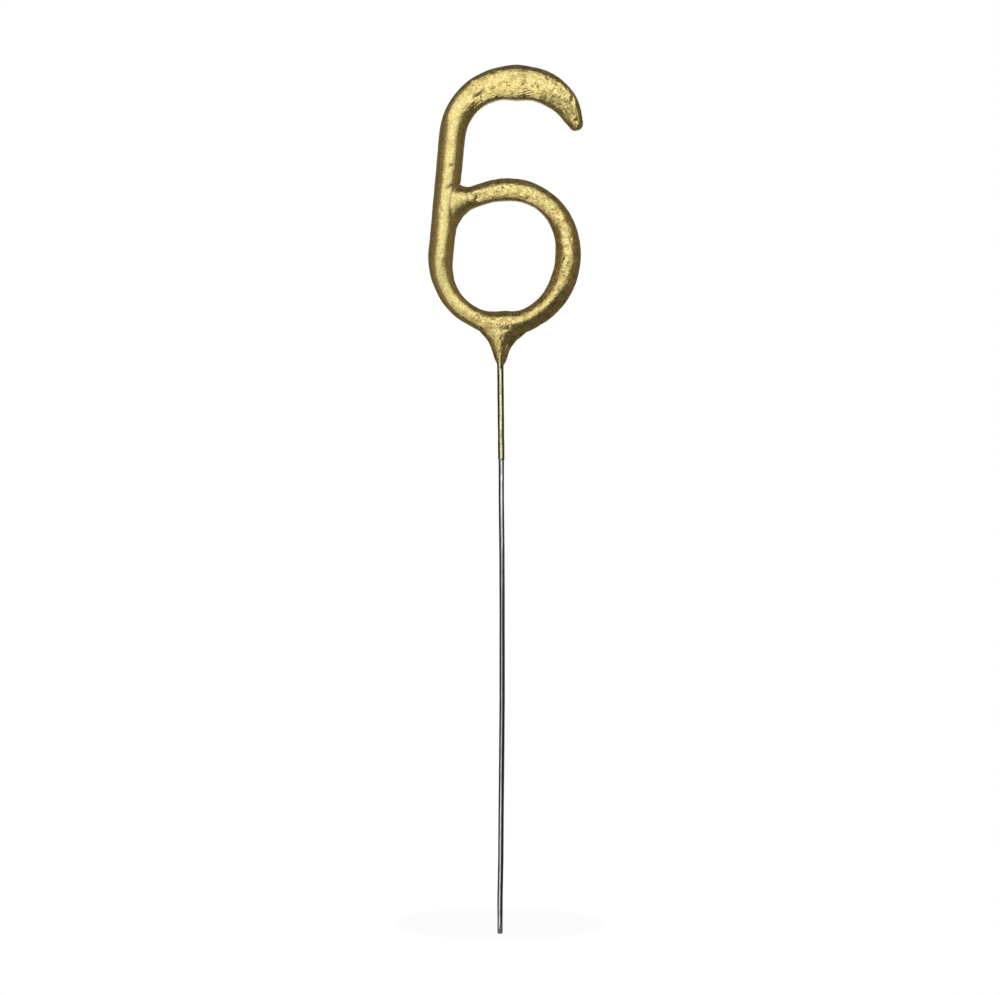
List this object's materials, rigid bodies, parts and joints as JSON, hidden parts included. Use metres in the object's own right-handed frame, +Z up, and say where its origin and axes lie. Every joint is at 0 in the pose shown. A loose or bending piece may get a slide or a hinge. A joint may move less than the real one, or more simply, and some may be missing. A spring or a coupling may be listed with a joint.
{
  "type": "sparkler",
  "caption": "Gold numeral sparkler: a bent wire figure dipped in sparkler composition and painted, on a straight bare wire stem that is pushed into a cake.",
  "frame": {"origin": "the lower tip of the stem, on the axis of its bare stretch", "axes": "+Z up along the stem, +X to the reader's right, -Y towards the reader of the numeral"},
  "size_m": [0.0316, 0.0056, 0.178],
  "materials": {
    "steel_wire": "bare drawn steel wire with straightening marks",
    "weld": "spot weld, slightly scorched",
    "composition": "dull grey dried sparkler composition with metal grains",
    "gold_paint": "metallic gold paint over a grainy coat"
  },
  "bodies": {
    "root": {"stem_wire": "steel_wire", "numeral_wire": "steel_wire", "stem_weld": "weld", "bowl_weld": "weld", "first_dip_coat": "composition", "second_dip_coat": "composition", "gold_skin": "gold_paint"}
  },
  "joints": []
}
